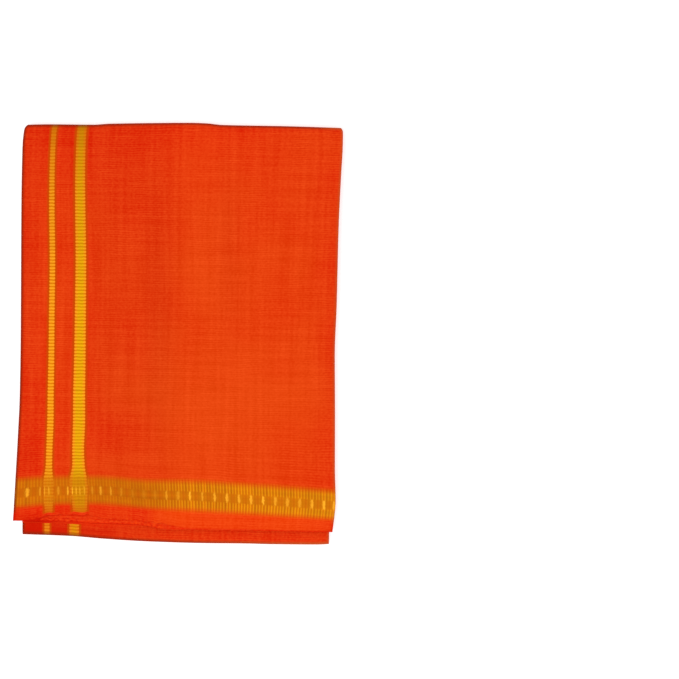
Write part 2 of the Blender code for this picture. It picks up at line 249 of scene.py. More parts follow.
# Broad soft differences in tone, and in how red the orange is, some of them painted light and shade as
# marked.
SHADES = table(
    "x y half_width half_length tone red",
    # painted shade in the troughs of the first two swells
    (-14, 20, 22, 190, -0.05, 0.06),
    (41, 70, 16, 120, -0.03, 0.05),
    # a paler, less red middle: painted sheen
    (37, -53, 150, 190, 0, -0.32),
    (20, 150, 60, 70, 0.02, 0),
    (0, 180, 400, 90, 0, 0.3),
    (-80, 165, 90, 90, -0.03, 0.2),
    (-135, 0, 40, 400, -0.07, 0.3),
    (-50, -30, 75, 400, -0.05, 0.08),
    (-110, -150, 110, 26, -0.05, 0.5),
    (-125, -100, 45, 34, -0.02, 0.35),
    (130, -20, 34, 230, -0.03, 0.36),
    (-94, 0, 18, 100, 0, -0.22),
    (-35, -12, 30, 36, 0, 0.25),
    (-72, -84, 60, 24, 0, 0.22),
    # painted shade on the second panel under the first panel's curled selvedge
    (-112, -148.5, 17, 5.5, 0, 0.25),
    # painted shadow of the layers above on the middle fold at the left
    (-92, -157, 110, 10, -0.04, 0.46),
    # brighter on the ramp of staggered selvedges: painted light
    (-62, -151, 45, 4.5, 0.09, 0),
    (-29, -143, 15, 16, -0.02, 0.35),
    (-2, -142, 22, 14, 0.02, -0.25),
)
TOP_RED = 0.5  # how red the first panel is away from the shades
# The layers below the first panel are redder: painted shade.
UNDER_SHADE_RED = 0.85  # how red the cloth is below the first panel

# How brightly the gold shows, by how far along the cloth: in the border's ribs, as painted sheen and shade
# that dulls them towards the cut end, and in its dashes.
GOLD_SHEEN = table(
    "s ribs dashes",
    (0, 0.8, 0.85), (12, 0.8, 0.75), (30, 0.77, 0.65), (46.9, 0.77, 1.1), (57, 0.77, 0.25),
    (63.5, 0.77, 0.7), (72, 0.77, 0.75), (80, 0.77, 0.2), (103, 0.79, 0.1),
    (116, 0.89, 0.45), (138, 0.98, 0.85), (176, 1, 1.02), (215, 1.04, 0.85),
    (250, 1.1, 0.98), (270, 1, 1), (CLOTH_LENGTH, 1, 1),
)
# How many dashes lie between the cut end and each place. They crowd where the stripes cross the border.
DASHES = table(
    "s count",
    (-0.3, -1), (9.2, 0), (18.9, 1), (24.4, 3), (38.9, 5), (41.8, 6), (47.2, 8), (50.5, 9),
    (63.5, 11), (79.9, 13), (115.5, 17), (134.2, 19), (153.9, 21), (211.5, 27), (240.8, 30),
    (248.6, 31), (CLOTH_LENGTH, 214),
)

# How wide the dark line of painted shade along each edge is, where the cloth turns away.
Widening = namedtuple("Widening", "x reach more")
LEFT_LINE = 3.1
PLEAT_LINE = 3.8
BACK_LINE = (3.6, 2.8)  # at the pack's left and right
MIDDLE_FOLD_LINE = 3.4
MIDDLE_FOLD_WIDENING = Widening(x=-122, reach=85, more=1)
FIRST_LINE = 0.05  # along the first panel's selvedge
FIRST_WIDENING = Widening(x=-110, reach=17, more=3.6)
CURL_LINE = 1.2
NEXT_LINE = 0.02  # along the other selvedges
NEXT_LINE_MORE = 0.4
# How far in a line starts to fade, as a share of its width, and where the lines stop under the pack.
PLEAT_SOFTNESS = 0.25
SELVEDGE_SOFTNESS = 0.35
FAR_IN = 20  # past every line
UNDER_START = 1.33  # stretch
UNDER_END = 3.67
UNDER_FADE = 0.25

# The cloth's grid, which is finest near its edges and where the first panel's selvedge is crinkled.
PANEL_EDGE = 0.5  # between a panel's last straight column and the flat cloth's pleat line
PLEAT_STEPS = 5  # columns within a pleat
FIRST_STEPS = (
    (0, 0.8, 1.8, 3),
    np.arange(5, 132, 2.1),
    np.arange(134, 246, 4),
    (247, 248.4, 249.4, PANEL),
)
SECOND_STEPS = (np.arange(0, 110, 7), np.arange(112, 238, 3), (240, 245, PANEL))
HIDDEN_STEPS = (np.linspace(0, PANEL, 19),)
PANEL_STEPS = (FIRST_STEPS, SECOND_STEPS) + (HIDDEN_STEPS,) * (PANELS - 2)
TOP_STEPS = (
    np.arange(0, 22, 1.3),
    np.arange(23, 46, 2.6),
    np.linspace(48.5, 308, 42),
    (309, TOP_LENGTH),
)
TOP_ROWS = np.concatenate(TOP_STEPS) / TOP_LENGTH
RUN_ROWS = np.concatenate((np.linspace(0, 0.92, 13), (0.96, 0.98, 1)))
SHELF_ROWS = np.concatenate(((0, 0.01, 0.022, 0.035, 0.05, 0.07), np.linspace(0.1, 1, 15)))
BACK_FOLD_ROWS = np.linspace(0, 1, 14)[1:-1]
MIDDLE_FOLD_ROWS = np.linspace(0, 1, 12)[1:-1]
INNER_FOLD_ROWS = BACK_FOLD_ROWS[::2]
ROUNDS = 8  # that settle a point between its panel's four edges
SHARP_ANGLE = math.radians(60)

# The studio.
FRAME_WIDTH = 679  # pixels, as tall as it is wide
MM_PER_PIXEL = 0.7905  # at the pack's top
SENSOR_WIDTH = 36
CAMERA_DISTANCE = 2.5  # metres above the pack's top
CAMERA_X = 127.6  # to the right of the pack's middle
CAMERA_Y = -4.6
CAMERA_SEES = (0.1, 20)  # metres
FLOOR_HALF_WIDTH = 4  # metres
FLOOR_GREY = (0.65, 0.65, 0.65, 1)
FLOOR_ROUGHNESS = 0.9
FLOOR_GLOW = 0.55
WHITE = (1, 1, 1, 1)
WORLD_STRENGTH = 0.8
SOFTBOX_WATTS = 18
SOFTBOX_WIDTH = 1.2  # metres
SOFTBOX_PLACE = (-0.35, -0.6, 2.1)


def smooth(points, at, field=None):
    """A curve through a table's rows, read at each place in at, that doesn't overshoot between them. Its
    values are the named column's, or else the second one's."""
    rows = np.array(points, float)
    column = points[0]._fields.index(field) if field else 1
    place, value = rows[:, 0], rows[:, column]
    width = np.diff(place)
    slope = np.diff(value) / width
    product = slope[:-1] * slope[1:]
    total = np.where(product > 0, slope[:-1] + slope[1:], 1)
    inner = np.where(product > 0, 2 * product / total, 0)
    tangent = np.concatenate((slope[:1], inner, slope[-1:]))
    at = np.clip(at, place[0], place[-1])
    row = np.clip(np.searchsorted(place, at, side="right") - 1, 0, len(width) - 1)
    share = (at - place[row]) / width[row]
    rest = 1 - share
    before = (1 + 2 * share) * rest**2 * value[row] + share * rest**2 * width[row] * tangent[row]
    after = share**2 * (3 - 2 * share) * value[row + 1] - share**2 * rest * width[row] * tangent[row + 1]
    return before + after


def hill(offset):
    """A rounded hill of height 1 that falls to nothing at an offset of 1."""
    return np.cos(np.clip(offset, -1, 1) * np.pi / 2) ** 2


def blend(start, end, share):
    """From start to end as share goes from 0 to 1, with a soft start and stop."""
    share = np.clip(share, 0, 1)
    return start + (end - start) * share * share * (3 - 2 * share)


def knots(at, places, values):
    """Straight lines through the given places and values, which may differ from point to point."""
    result = np.zeros_like(at) + values[0]
    for k in range(len(places) - 1):
        share = np.clip((at - places[k]) / (places[k + 1] - places[k]), 0, 1)
        result = result + (values[k + 1] - values[k]) * share
    return result


def within(window, x):
    """1 inside a window and 0 outside it."""
    risen = blend(0, 1, (x - window.low) / window.fade + 0.5)
    return risen * blend(1, 0, (x - window.high) / window.fade + 0.5)


def wavering(wave, x, turn=0):
    """An uneven wave between -1 and 1."""
    return np.sin(x / wave.scale + wave.sway * np.sin(x / wave.sway_scale) + turn)


def widened(line, widening, x):
    """The width of a line that is wider round one place."""
    return line + widening.more * hill((x - widening.x) / widening.reach)


# ---- The folded cloth's form

Column = namedtuple(
    "Column", "panel share shift_right shift_wrong depth_right depth_wrong s left_pleat right_pleat"
)


def panel_columns(panel):
    """The grid's columns across one panel. Every second panel runs from right to left, wrong side up."""
    odd = panel % 2
    steps = np.concatenate(PANEL_STEPS[panel]) / PANEL
    share = 1 - steps if odd else steps
    left_end = 0 if panel in (0, PANELS - 1) else OUTER_FACE
    shift = left_end * (1 - share) - OUTER_FACE * share
    upper, lower = panel * LAYER, panel * LAYER + CLOTH_THICKNESS
    right, wrong = (lower, upper) if odd else (upper, lower)
    left_pleat, right_pleat = (panel + 1, panel) if odd else (panel, panel + 1)
    places = PANEL * panel + PANEL_EDGE + (PANEL - 2 * PANEL_EDGE) * steps
    return [
        Column(panel, across, move, move, right, wrong, s, left_pleat, right_pleat)
        for across, move, s in zip(share, shift, places)
    ]


def pleat_columns(panel):
    """The columns round the pleat that joins a panel to the next one."""
    pleat, middle = panel + 1, panel * LAYER + OUTER_FACE
    side, reaches = (0, (INNER_FACE, OUTER_FACE)) if panel % 2 else (1, (OUTER_FACE, INNER_FACE))
    outwards = 1 if side else -1
    found = []
    for turn in np.linspace(0, np.pi, PLEAT_STEPS + 2)[1:-1]:
        shifts = [outwards * (reach * np.sin(turn) - OUTER_FACE) for reach in reaches]
        depths = [middle - reach * np.cos(turn) for reach in reaches]
        s = PANEL * pleat - PANEL_EDGE * np.cos(turn)
        found.append(Column(panel + turn / np.pi, side, *shifts, *depths, s, pleat, pleat))
    return found


def all_columns():
    """The grid's columns from the first cut end to the last, as one Column whose fields are arrays."""
    found = []
    for panel in range(PANELS):
        found += panel_columns(panel)
        if panel < PANELS - 1:
            found += pleat_columns(panel)
    return Column(*np.array(found).T)


def back_start(x):
    """y where the flat of the pack meets the fold at the back."""
    share = (x + HALF_WIDTH) / (2 * HALF_WIDTH)
    return BACK_FOLD_START[0] + (BACK_FOLD_START[1] - BACK_FOLD_START[0]) * share


def back_bulge(x):
    """How far the fold at the back stands out."""
    return smooth(BACK_END, x) - back_start(x)


def middle_fold_start(x):
    """y where the flat of the pack meets the middle fold."""
    return smooth(MIDDLE_FOLD_END, x) + MIDDLE_FOLD_DEPTH


def squared(turn):
    """How far out and up a point of a squarish fold lies, as shares, as it turns from top to bottom."""
    power = 2 / FOLD_SQUARENESS
    out, up = np.clip(np.sin(turn), 0, 1), np.cos(turn)
    return out**power, np.sign(up) * np.abs(up) ** power


def tuck(pleat, place):
    """How far in a pleat lies at places along the cloth's width."""
    tucks = np.array(PLEAT_TUCKS + (0,))[pleat.astype(int)]
    return tucks * (1 - TUCK_WAVER + TUCK_WAVER * np.sin(place / TUCK_SCALE + TUCK_TURN * pleat))


def behind_second(grid, x, staggers, steps):
    """How far each selvedge lies behind the outline of the second one."""
    stepped = steps[0] + (steps[1] - steps[0]) * grid.panel / PANELS
    staggered = np.interp(grid.panel, range(PANELS), staggers)
    return blend(stepped, staggered, (x - STEPS_END) / STEPS_FADE + 0.5)


def frill(x):
    """How the first panel's selvedge wavers where it is crinkled."""
    fine = FINE_FRILL_SIZE * np.sin(x / FINE_FRILL_SCALE)
    return within(FRILL_WINDOW, x) * (FRILL_SIZE * wavering(FRILL_WAVE, x) + fine)


def panel_front(grid, x):
    """y of each column's first selvedge."""
    second = smooth(SECOND_SELVEDGE, x) + behind_second(grid, x, UPPER_STAGGERS, UPPER_STEPS)
    return second + (smooth(FIRST_SELVEDGE, x) + frill(x) - second) * np.clip(1 - grid.panel, 0, 1)


# Each stretch gives y and nominal height from the share along it, x, the depth in the strip and the grid.


def top_run(along, x, depth, grid):
    front = panel_front(grid, x)
    return front + (back_start(x) - front) * along, PACK_HEIGHT - depth


def back_fold(along, x, depth, grid):
    out, up = squared(np.pi * along)
    return back_start(x) + (back_bulge(x) - depth) * out, HALF_HEIGHT + (HALF_HEIGHT - depth) * up


def bottom_run(along, x, depth, grid):
    return back_start(x) + (middle_fold_start(x) - back_start(x)) * along, depth


def middle_fold(along, x, depth, grid):
    reach = (MIDDLE_FOLD_DEPTH - depth) * np.sin(np.pi * along)
    rise = STRIP_HEIGHT - (STRIP_HEIGHT - depth) * np.cos(np.pi * along)
    return middle_fold_start(x) - reach, rise - INNER_FOLD_SPARE * (1 - np.cos(np.pi * along)) / 2


def middle_run(along, x, depth, grid):
    start = middle_fold_start(x)
    return start + (back_start(x) - start) * along, HALF_HEIGHT - depth - INNER_FOLD_SPARE


def inner_fold(along, x, depth, grid):
    bulge = (back_bulge(x) - STRIP_HEIGHT - INNER_FOLD_GAP) * depth / STRIP_HEIGHT
    reach = np.maximum(INNER_FOLD_LEAST, bulge)
    rise = HALF_HEIGHT - (depth + INNER_FOLD_SPARE) * np.cos(np.pi * along)
    return back_start(x) + reach * np.sin(np.pi * along), rise


def last_run(along, x, depth, grid):
    front = smooth(SECOND_SELVEDGE, x) + behind_second(grid, x, INNER_STAGGERS, INNER_STEPS)
    return back_start(x) + (front - back_start(x)) * along, HALF_HEIGHT + depth + INNER_FOLD_SPARE


# The stretches from the first selvedge to the last: how far along them their rows lie, how much those belong
# to the top of the pack, and what places them.
Stretch = namedtuple("Stretch", "rows upper place")
STRETCHES = (
    Stretch(TOP_ROWS, 1, top_run),
    Stretch(BACK_FOLD_ROWS, (1 + np.cos(np.pi * BACK_FOLD_ROWS)) / 2, back_fold),
    Stretch(RUN_ROWS, 0, bottom_run),
    Stretch(MIDDLE_FOLD_ROWS, 0, middle_fold),
    Stretch(SHELF_ROWS, 0, middle_run),
    Stretch(INNER_FOLD_ROWS, 0, inner_fold),
    Stretch(RUN_ROWS, 0, last_run),
)
Face = namedtuple("Face", "x y z left right upper stretch")


def sides(grid, y, upper, place):
    """x of the left and right outlines that each point lies between."""
    left, right = smooth(STACK_LEFT, y), smooth(STACK_RIGHT, y)
    first, joined = (grid.panel < 1) * upper, (grid.panel < 2) * upper
    left = left + (smooth(FIRST_PANEL_LEFT, y) - left) * first
    right = right + (smooth(FIRST_PANEL_RIGHT, y) - right) * joined
    return left + tuck(grid.left_pleat, place), right - tuck(grid.right_pleat, place)


def folded_face(grid, shift, depth):
    """The points of one face of the folded cloth at their nominal height, with the outlines beside them."""
    parts = []
    for number, stretch in enumerate(STRETCHES):
        along = stretch.rows[:, None]
        upper = np.reshape(stretch.upper, (-1, 1))
        place = QUARTER * (number + along) / 2
        x = -HALF_WIDTH + 2 * HALF_WIDTH * grid.share + 0 * along
        for _ in range(ROUNDS):
            y, z = stretch.place(along, x, depth, grid)
            left, right = sides(grid, y, upper, place)
            x = left + (right - left) * grid.share + shift
        parts.append([value + 0 * x for value in (x, y, z, left, right, upper, number + along)])
    return Face(*(np.concatenate(rows) for rows in zip(*parts)))


def relief(x, y):
    """How much higher the pack's top lies than its nominal height."""
    height = -DISH_DEPTH * hill(x / DISH_HALF_WIDTH) * hill(y / DISH_HALF_LENGTH)
    for swell in SWELLS:
        across, along = (x - swell.x) / swell.half_width, (y - swell.y) / swell.half_length
        height = height + swell.height * hill(across) * hill(along)
    return height


def lift(x, from_edge):
    """How far the first panel's rippled and crinkled selvedge stands off the second panel."""
    height = sum(
        ripple.height * hill((x - ripple.x) / ripple.half_width) * hill(from_edge / ripple.reach)
        for ripple in RIPPLES
    )
    crinkle = (1 + wavering(CRINKLE_WAVE, x, from_edge / CRINKLE_SLANT)) / 2
    return height + CRINKLE_HEIGHT * crinkle * within(CRINKLE_WINDOW, x) * hill(from_edge / CRINKLE_REACH)


def pressed(face):
    """The height of each point once the pack's upper half is thinned towards its staggered selvedges."""
    near = hill(np.maximum(face.y - smooth(SECOND_SELVEDGE, face.x), 0) / FRONT_REACH)
    above = (face.z - HALF_HEIGHT) * (1 - FRONT_PRESS * near)
    return np.where(face.z > HALF_HEIGHT, HALF_HEIGHT + above, face.z)


def settled(grid, face):
    """The points of the pressed pack. Each layer takes its share of the relief, the first panel's selvedge is
    raised and its free corner droops."""
    x, y = face.x, face.y
    first = np.clip(1 - grid.panel, 0, 1) * (face.upper == 1)
    raised = lift(x, y - panel_front(grid, x)) * first
    overhang = np.clip(smooth(STACK_LEFT, y) - x, 0, CORNER_OVERHANG) / CORNER_OVERHANG
    droop = CORNER_DROOP * overhang**2 * first
    z = pressed(face)
    return np.stack((x, y, z + relief(x, y) * z / PACK_HEIGHT + raised - droop), -1)


# ---- Where each point lies on the flat cloth, and what the material needs to know there


def stripes_shown(face, field, beyond):
    """A column of the stripes' table at each point. Round the back it fades into the value beyond."""
    share = (face.stretch - STRIPES_FADE_START) / STRIPES_FADE
    return blend(smooth(STRIPES, face.y, field), beyond, share)


def across_width(grid, face):
    """t of each point. On the top run, the border is where its outlines in plan say."""
    front = panel_front(grid, face.x)
    low, high = smooth(BORDER_BOTTOM, face.x), smooth(BORDER_TOP, face.x)
    beyond = high + PATTERN_FADE
    from_back = (back_start(face.x) - np.stack((face.y, beyond))) * (STRETCH_ENDS[1] / TOP_LENGTH)
    t_top, t_beyond = STRETCH_ENDS[1] - from_back
    bordered = knots(face.y, (front, low, high, beyond), (0, BORDER_START, BORDER_END, t_beyond))
    on_top = np.where(face.y < beyond, bordered, t_top)
    elsewhere = np.interp(face.stretch, range(len(STRETCH_ENDS)), STRETCH_ENDS)
    return np.where(face.stretch <= TOP_END, on_top, elsewhere)


def along_length(grid, face):
    """s of each point. On the first panel, the stripes are where their table says."""
    turned_in = TURNED_IN * blend(0, 1, (face.stretch - TURN_IN_START) / TURN_IN_FADE)
    narrow = stripes_shown(face, "narrow", NARROW_STRIPE) - turned_in
    wide = stripes_shown(face, "wide", WIDE_STRIPE) - turned_in * WIDE_TURN_IN
    corner = smooth(FIRST_PANEL_LEFT, face.y) - smooth(FIRST_PANEL_LEFT, np.minimum(face.y, CORNER_START))
    striped = knots(
        face.x - face.left + corner,
        (0, narrow, wide, wide + PATTERN_FADE, face.right - face.left + corner - LAYER),
        (turned_in, NARROW_STRIPE, WIDE_STRIPE, WIDE_STRIPE + PATTERN_FADE, PANEL - PANEL_EDGE),
    )
    return np.where(grid.panel == 0, striped, grid.s)


def selvedge_lines(x):
    """How wide the dark line of painted shadow along the first panel's selvedge is, which comes and goes
    where the edge curls, and how wide the faint line of painted shade along the other selvedges is."""
    curls = within(CURL_WINDOW, x) * (1 + wavering(CURL_WAVE, x)) / 2
    first = widened(FIRST_LINE, FIRST_WIDENING, x) + CURL_LINE * curls
    return first, NEXT_LINE + NEXT_LINE_MORE * within(NEXT_LINE_WINDOW, x)


def painted_edge_shade(grid, face):
    """How far in each point lies from the nearest edge of what shows of its panel, as a share of how wide the
    dark line of painted shade along that edge is. The line stops where the cloth turns under."""
    x, y, stretch = face.x, face.y, face.stretch
    on_top = (stretch <= BACK_FOLD_END) | (stretch > LAST_RUN_START)
    first = grid.panel < 1
    front = np.where(on_top, panel_front(grid, x), smooth(MIDDLE_FOLD_END, x))
    first_line, next_line = selvedge_lines(x)
    fold_line = widened(MIDDLE_FOLD_LINE, MIDDLE_FOLD_WIDENING, x)
    front_line = np.where(on_top, np.where(first, first_line, next_line), fold_line)
    back_line = np.interp(x, (-HALF_WIDTH, HALF_WIDTH), BACK_LINE)
    past_first = np.clip(grid.panel * 2, 0, 1)
    # the painted shadow of the first panel's selvedge on the panel below
    shadow_below_first = np.abs(y - smooth(FIRST_SELVEDGE, x) - frill(x)) / first_line + SELVEDGE_SOFTNESS
    nearest = np.minimum.reduce(
        (
            (x - face.left) / LEFT_LINE + past_first,
            (face.right - x) / PLEAT_LINE + PLEAT_SOFTNESS + past_first,
            np.abs(y - front) / front_line + on_top * SELVEDGE_SOFTNESS,
            np.abs(smooth(BACK_END, x) - y) / back_line,
            np.where((stretch <= TOP_END) & ~first, shadow_below_first, FAR_IN),
            np.full_like(x, FAR_IN),
        )
    )
    turned_under = np.clip((stretch - UNDER_START) / UNDER_FADE, 0, 1)
    return nearest + turned_under * np.clip((UNDER_END - stretch) / UNDER_FADE, 0, 1)


def crumple_shading(grid, face):
    """How strongly the painted light and shade of crumples shows at each point. Only the selvedges that show
    at the front left have it.
    """
    shown = (face.stretch <= TOP_END) & (grid.panel < 2)
    near = hill((face.y - smooth(SECOND_SELVEDGE, face.x)) / CRUMPLE_REACH)
    return shown * within(CRUMPLE_WINDOW, face.x) * near


def shades_of(grid, face):
    """The tone of each point, and how red it is, with painted light and shade where the shades say and redder
    painted shade on the layers below the first panel.
    """
    tone, red = np.ones_like(face.x), np.full_like(face.x, TOP_RED)
    for shade in SHADES:
        across, along = (face.x - shade.x) / shade.half_width, (face.y - shade.y) / shade.half_length
        here = hill(across) * hill(along)
        tone, red = tone + shade.tone * here, red + shade.red * here
    first = (face.stretch <= TOP_END) & (grid.panel < 1)
    return tone, np.where(first, red, np.maximum(red, UNDER_SHADE_RED))


def pattern(grid, face):
    """Each point's place on the flat cloth, and the numbers that the material reads there."""
    s, t = along_length(grid, face), across_width(grid, face)
    tone, red = shades_of(grid, face)
    numbers = {
        # where the painted shade along the edges falls
        "edge": painted_edge_shade(grid, face),
        "narrow_half": stripes_shown(face, "narrow_half", NARROW_HALF_WIDTH),
        "wide_half": stripes_shown(face, "wide_half", WIDE_HALF_WIDTH),
        "stripe_sheen": stripes_shown(face, "glow", STRIPE_SHEEN),
        "stripe_cover": stripes_shown(face, "cover", STRIPE_COVER),
        "tone": tone,
        "red": red,
        "crumple_shading": crumple_shading(grid, face),
        "rib_sheen": smooth(GOLD_SHEEN, s, "ribs"),
        "dash_glow": smooth(GOLD_SHEEN, s, "dashes"),
        "dash_count": np.interp(s, *np.array(DASHES).T),
    }
    return np.stack((s, t), -1), numbers


# ---- The mesh


def placed(name, data):
    """A new object in the scene."""
    thing = bpy.data.objects.new(name, data)
    bpy.context.scene.collection.objects.link(thing)
    return thing


def cells(number):
    """The four corners of each cell of a grid of numbered points, anticlockwise seen from its right side."""
    corners = number[:-1, :-1], number[:-1, 1:], number[1:, 1:], number[1:, :-1]
    return np.stack([corner.ravel() for corner in corners], axis=-1)


def rim(number):
    """The numbers of the points round a grid's edge, anticlockwise and back to the first."""
    return np.concatenate((number[0], number[1:, -1], number[-1, -2::-1], number[-2::-1, 0]))


def shell(shape):
    """The faces of a shell of two grids of points: the right side's, the wrong side's and the rim's."""
    right_side = np.arange(math.prod(shape)).reshape(shape)
    wrong_side = right_side + right_side.size
    edge, far_edge = rim(right_side), rim(wrong_side)
    joins = np.stack((far_edge[:-1], far_edge[1:], edge[1:], edge[:-1]), axis=-1)
    return np.concatenate((cells(right_side), cells(wrong_side)[:, ::-1], joins))


def folded_cloth():
    """The whole cloth as one closed shell."""
    grid = all_columns()
    right_side = folded_face(grid, grid.shift_right, grid.depth_right)
    wrong_side = folded_face(grid, grid.shift_wrong, grid.depth_wrong)
    places, numbers = pattern(grid, right_side)
    points = np.stack((settled(grid, right_side), settled(grid, wrong_side))).reshape(-1, 3)
    mesh = bpy.data.meshes.new("folded_dhoti")
    mesh.from_pydata(((points - CENTRE) * MM).tolist(), [], shell(right_side.x.shape).tolist())
    for name, values in numbers.items():
        layer = mesh.attributes.new(name, "FLOAT", "POINT")
        layer.data.foreach_set("value", np.tile(values.ravel(), 2).astype(np.float32))
    corners = np.empty(len(mesh.loops), np.int32)
    mesh.loops.foreach_get("vertex_index", corners)
    places = np.tile(places.reshape(-1, 2), (2, 1))[corners]
    mesh.uv_layers.new(name="cloth").data.foreach_set("uv", places.astype(np.float32).ravel())
    mesh.shade_smooth()
    mesh.set_sharp_from_angle(angle=SHARP_ANGLE)
    mesh.validate()
    return placed("folded_dhoti", mesh)


# ---- What the material is made with


class Value:
    """A number in a shader. Arithmetic on it adds the node that works it out."""

    def __init__(self, tree, socket):
        self.tree = tree
        self.socket = socket

    def apply(self, operation, *others):
        node = self.tree.nodes.new("ShaderNodeMath")
        node.operation = operation
        for place, value in zip(node.inputs, (self, *others)):
            feed(place, value)
        return Value(self.tree, node.outputs[0])

    def __add__(self, other):
        return self.apply("ADD", other)

    def __sub__(self, other):
        return self.apply("SUBTRACT", other)

    def __mul__(self, other):
        return self.apply("MULTIPLY", other)

    def __truediv__(self, other):
        return self.apply("DIVIDE", other)

    def size(self):
        return self.apply("ABSOLUTE")

    def wave(self, pitch):
        """A sine wave between 0 and 1, that repeats at each pitch."""
        return (self * (math.tau / pitch)).apply("SINE") * 0.5 + 0.5

    def inverse(self):
        """What is left of 1."""
        return self * -1 + 1

    def capped(self):
        """No more than 1."""
        return self.apply("MINIMUM", 1)

    def step(self, low, high):
        """0 at low and 1 at high, with a smooth change between them."""
        node = self.tree.nodes.new("ShaderNodeMapRange")
        node.interpolation_type = "SMOOTHSTEP"
        feed(node.inputs["Value"], self)
        feed(node.inputs["From Min"], low)
        feed(node.inputs["From Max"], high)
        return Value(self.tree, node.outputs["Result"])

    def between(self, low, high):
        """From low to high as the number goes from 0 to 1."""
        return self * (high - low) + low


def feed(socket, value):
    """Gives a socket a constant, or what another node works out."""
    if isinstance(value, Value):
        value.tree.links.new(value.socket, socket)
    else:
        socket.default_value = value


def attribute(cloth, name):
    """A number that the mesh carries at each point."""
    node = cloth.tree.nodes.new("ShaderNodeAttribute")
    node.attribute_name = name
    return Value(cloth.tree, node.outputs["Fac"])


def noise(cloth, kind):
    """Soft noise between 0 and 1."""
    tree = cloth.tree
    node = tree.nodes.new("ShaderNodeTexNoise")
    node.noise_dimensions = "2D"
    node.inputs["Scale"].default_value = 1
    node.inputs["Detail"].default_value = kind.detail
    join = tree.nodes.new("ShaderNodeCombineXYZ")
    feed(join.inputs["X"], cloth.s * kind.s + kind.start)
    feed(join.inputs["Y"], cloth.t * kind.t)
    tree.links.new(join.outputs[0], node.inputs["Vector"])
    return Value(tree, node.outputs["Fac"])


def chance(number):
    """A different number between 0 and 1 for each whole number."""
    node = number.tree.nodes.new("ShaderNodeTexWhiteNoise")
    node.noise_dimensions = "1D"
    feed(node.inputs["W"], number)
    return Value(number.tree, node.outputs["Value"])


def mixed(share, first, second):
    """Two colours mixed. Each is three numbers or another colour's socket."""
    node = share.tree.nodes.new("ShaderNodeMix")
    node.data_type = "RGBA"
    feed(node.inputs[0], share)
    for place, colour in zip(node.inputs[6:8], (first, second)):  # its colour sockets
        if isinstance(colour, tuple):
            place.default_value = (*colour, 1)
        else:
            share.tree.links.new(colour, place)
    return node.outputs[2]


def toned(colour, tone):
    """A colour made darker or brighter."""
    node = tone.tree.nodes.new("ShaderNodeVectorMath")
    node.operation = "SCALE"
    tone.tree.links.new(colour, node.inputs[0])
    feed(node.inputs["Scale"], tone)
    return node.outputs[0]


def stripe(place, middle, half_width, softness):
    """1 on a stripe and 0 off it."""
    return ((place - middle).size() - half_width).step(softness, -softness)


# ---- The material

# Colours in linear light.
ORANGE = (0.665, 0.044, 0.001)
RED_ORANGE = (0.655, 0.012, 0)
# The deepest red: painted shade where the cloth is reddest, as under overhanging layers and in crumples.
DEEP_SHADE_RED = (0.62, 0.006, 0)
PALE_THREAD = (0.92, 0.095, 0.012)
SELVEDGE = (0.75, 0.042, 0)
SELVEDGE_RED = (0.71, 0.012, 0)
# Painted shade along the edges and fold crests.
EDGE_SHADE_BROWN = (0.16, 0.016, 0.003)
EDGE_SHADE_TAN = (0.42, 0.095, 0.02)
# Painted shadow under the first panel's curled selvedge.
CURL_SHADOW_RED = (0.49, 0.003, 0)
# The grooves' colours are darker copies of the ribs': painted shade between the ribs.
GOLD_RIB = (0.69, 0.236, 0.002)
SHADED_GOLD_GROOVE = (0.495, 0.11, 0)
DASH_GROUND = (0.48, 0.086, 0)
DASH_HALO = (0.48, 0.122, 0)
DASH = (0.96, 0.42, 0.02)
YELLOW_RIB = (0.76, 0.368, 0.002)
SHADED_YELLOW_GROOVE = (0.565, 0.228, 0)
AMBER_RIB = (0.87, 0.312, 0.012)
SHADED_AMBER_GROOVE = (0.66, 0.17, 0)
STRIPE_SIDE = (0.55, 0.058, 0)

# Unevenness: how many blotches lie in a millimetre of s and of t, how fine they are, and where the first is.
Noise = namedtuple("Noise", "s t detail start", defaults=(2, 0))
WARP_STREAKS = Noise(s=0.016, t=0.34, detail=4)
WEFT_STREAKS = Noise(s=0.26, t=0.012, detail=3)
BLOTCHES = Noise(s=0.016, t=0.016)
GRAIN = Noise(s=0.5, t=0.6, detail=3)
SLUBS = Noise(s=0.07, t=0.9, start=3)
# where the painted light and shade of crumples falls
CRUMPLES = Noise(s=0.4, t=0.8, detail=1, start=11)
WARP_LINE_WANDER = Noise(s=0.05, t=0.05)
WARP_LINE_DEPTH = Noise(s=0.08, t=0.03, start=7)
BORDER_RIB_WANDER = Noise(s=0.08, t=0.02)
STRIPE_RIB_WANDER = Noise(s=0.3, t=0.1)
STRIPE_RIB_DEPTH = Noise(s=0.12, t=0.05, start=5)
DASH_FRAY = Noise(s=0.9, t=0.55, detail=1)

# The plain cloth. A pair is where a fade starts and where it is complete, or the least and the most.
WARP_LINE_PITCH = 1.75
WARP_LINE_REACH = 2  # that the lines wander within
WARP_LINE_FADE = (0.35, 0.68)
WARP_LINE_PALE = (0.08, 0.27)
SLUB_FADE = (0.56, 0.76)
SLUB_PALE = 0.1
WEFT_PALE = 0.42
WARP_PALE = 0.36
GRAIN_PALE = 0.55
BLOTCH_PALE = 0.14
ALL_PALE = 0.2
BLOTCH_RED = -0.75
# Painted light and shade of crumples.
CRUMPLE_SHADE_RED = 1.8
CRUMPLE_SHADE_TONE = 0.3
DEEP_SHADE_FADE = (0.95, 1.55)
SELVEDGE_FADE = (BORDER_START + 2, BORDER_START - 2)
SELVEDGE_SHARE = 0.8

